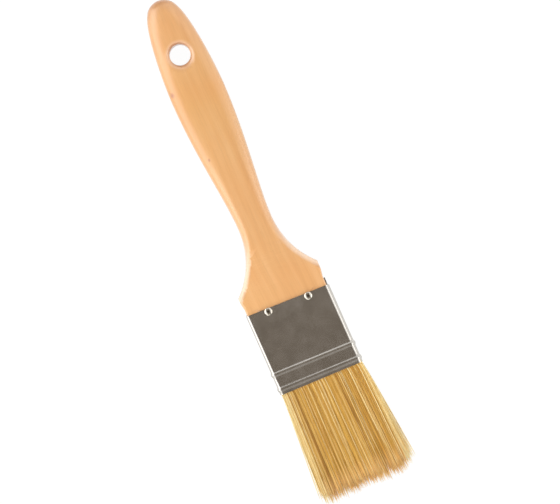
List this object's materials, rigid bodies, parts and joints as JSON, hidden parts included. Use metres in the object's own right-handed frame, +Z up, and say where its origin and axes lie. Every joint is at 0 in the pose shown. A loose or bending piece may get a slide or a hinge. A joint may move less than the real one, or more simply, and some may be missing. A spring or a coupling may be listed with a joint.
{
  "type": "flat paint brush",
  "caption": "Flat paint brush with a beavertail wooden handle with a hanging hole, a nailed sheet steel ferrule with two beads, and a straight bundle of pale bristles.",
  "frame": {"origin": "centre of the bounding box in X and Y, on the surface that the brush lies on", "axes": "+X along the brush towards the bristles, +Y across it towards the ferrule's lapped side, +Z up out of the broad front face"},
  "size_m": [0.2296, 0.0464, 0.0142],
  "materials": {
    "handle_wood": "clear satin lacquer on pale straight-grained wood",
    "ferrule_steel": "bright tinned sheet with fine rolling marks",
    "nail_steel": "bright plated round head",
    "setting_resin": "cured amber resin",
    "spacer_wood": "bare sawn wood",
    "bristle": "pale natural bristle with a soft sheen"
  },
  "bodies": {
    "root": {"handle": "handle_wood", "ferrule": "ferrule_steel", "nail_front_left": "nail_steel", "nail_front_right": "nail_steel", "nail_back_left": "nail_steel", "nail_back_right": "nail_steel", "root_setting": "setting_resin", "spacer_strip": "spacer_wood", "bristles_front_outer": "bristle", "bristles_front_inner": "bristle", "bristles_back_inner": "bristle", "bristles_back_outer": "bristle"}
  },
  "joints": []
}
